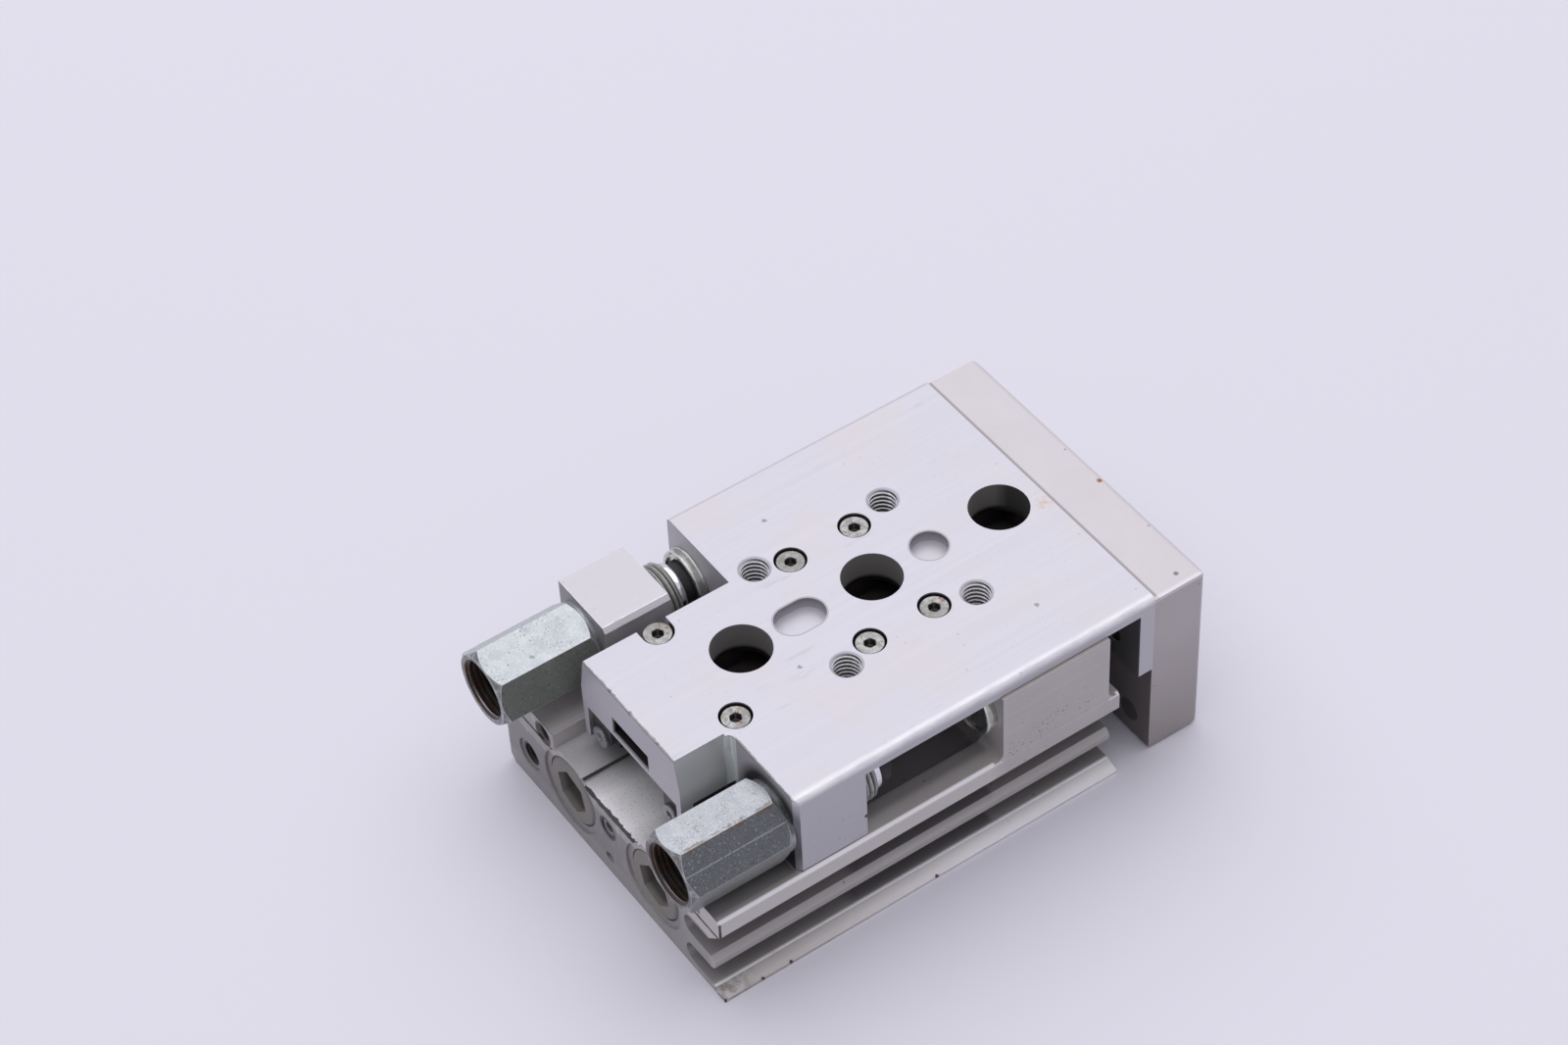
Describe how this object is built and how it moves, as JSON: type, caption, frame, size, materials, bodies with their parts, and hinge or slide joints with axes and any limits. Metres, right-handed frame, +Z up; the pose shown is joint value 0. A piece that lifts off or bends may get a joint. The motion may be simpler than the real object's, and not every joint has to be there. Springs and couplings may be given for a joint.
{
  "type": "pneumatic mini slide",
  "caption": "Compact guided pneumatic slide: a table and yoke run on a rail over a twin-bore housing between two adjustable end stops.",
  "frame": {"origin": "middle of the two base threads, on the underside of the housing, below the table's middle access hole", "axes": "+X along the stroke towards the yoke, +Y towards the side of the fixed stop block, +Z up out of the table's top"},
  "size_m": [0.1136, 0.0696, 0.0413],
  "materials": {
    "grey_anodised": "satin anodised",
    "bright_aluminium": "fine brushed",
    "grey_plate": "fine brushed, warm grey",
    "plug_grey": "matte",
    "zinc_steel": "zinc plated",
    "ground_steel": "ground",
    "chrome_steel": "polished",
    "spring_steel": "phosphated",
    "bronze": "plain",
    "rubber": "matte",
    "dark_plastic": "matte",
    "magnet": "matte"
  },
  "bodies": {
    "housing": {"housing": "grey_anodised", "rear_plugs": "plug_grey", "plug_orings": "rubber", "rod_bearings": "bronze", "rod_seals": "rubber", "bearing_retaining_rings": "spring_steel", "rear_set_screw": "zinc_steel", "passage_plug": "zinc_steel", "guide_rail": "ground_steel", "rail_screws": "zinc_steel", "stop_block": "bright_aluminium", "stop_block_screws": "zinc_steel", "extend_stop_button": "zinc_steel"},
    "slide": {"slide_table": "bright_aluminium", "carriage_screws": "zinc_steel", "guide_carriage": "ground_steel", "carriage_end_caps": "dark_plastic", "end_cap_screws": "zinc_steel", "guide_balls": "chrome_steel", "yoke_plate": "grey_plate", "yoke_screws": "zinc_steel", "rod_screws": "zinc_steel", "yoke_dowels": "ground_steel", "piston_rods": "chrome_steel", "pistons": "plug_grey", "piston_seals": "rubber", "piston_magnets": "magnet", "retract_stop_button": "zinc_steel"},
    "retract_stop": {"retract_stop_sleeve": "zinc_steel", "retract_stop_bumper_holder": "chrome_steel", "retract_stop_bumper": "rubber"},
    "retract_nut": {"retract_lock_nut": "zinc_steel"},
    "extend_stop": {"extend_stop_sleeve": "zinc_steel", "extend_stop_bumper_holder": "chrome_steel", "extend_stop_bumper": "rubber"},
    "extend_nut": {"extend_lock_nut": "zinc_steel"}
  },
  "joints": [
    {"name": "table_travel", "type": "slide", "parent": "housing", "child": "slide", "axis": [1, 0, 0], "range_m": [0, 0.02]},
    {"name": "retract_stop_thread", "type": "slide", "parent": "housing", "child": "retract_stop", "axis": [1, 0, 0], "range_m": [-0.004, 0]},
    {"name": "retract_nut_turn", "type": "hinge", "parent": "housing", "child": "retract_nut", "pos_m": [-0.055, 0.027, 0.0312], "axis": [1, 0, 0], "range_deg": [-180, 0]},
    {"name": "extend_stop_thread", "type": "slide", "parent": "slide", "child": "extend_stop", "axis": [1, 0, 0], "range_m": [-0.004, 0]},
    {"name": "extend_nut_turn", "type": "hinge", "parent": "slide", "child": "extend_nut", "pos_m": [-0.052, -0.0268, 0.0312], "axis": [1, 0, 0], "range_deg": [-180, 0]}
  ]
}
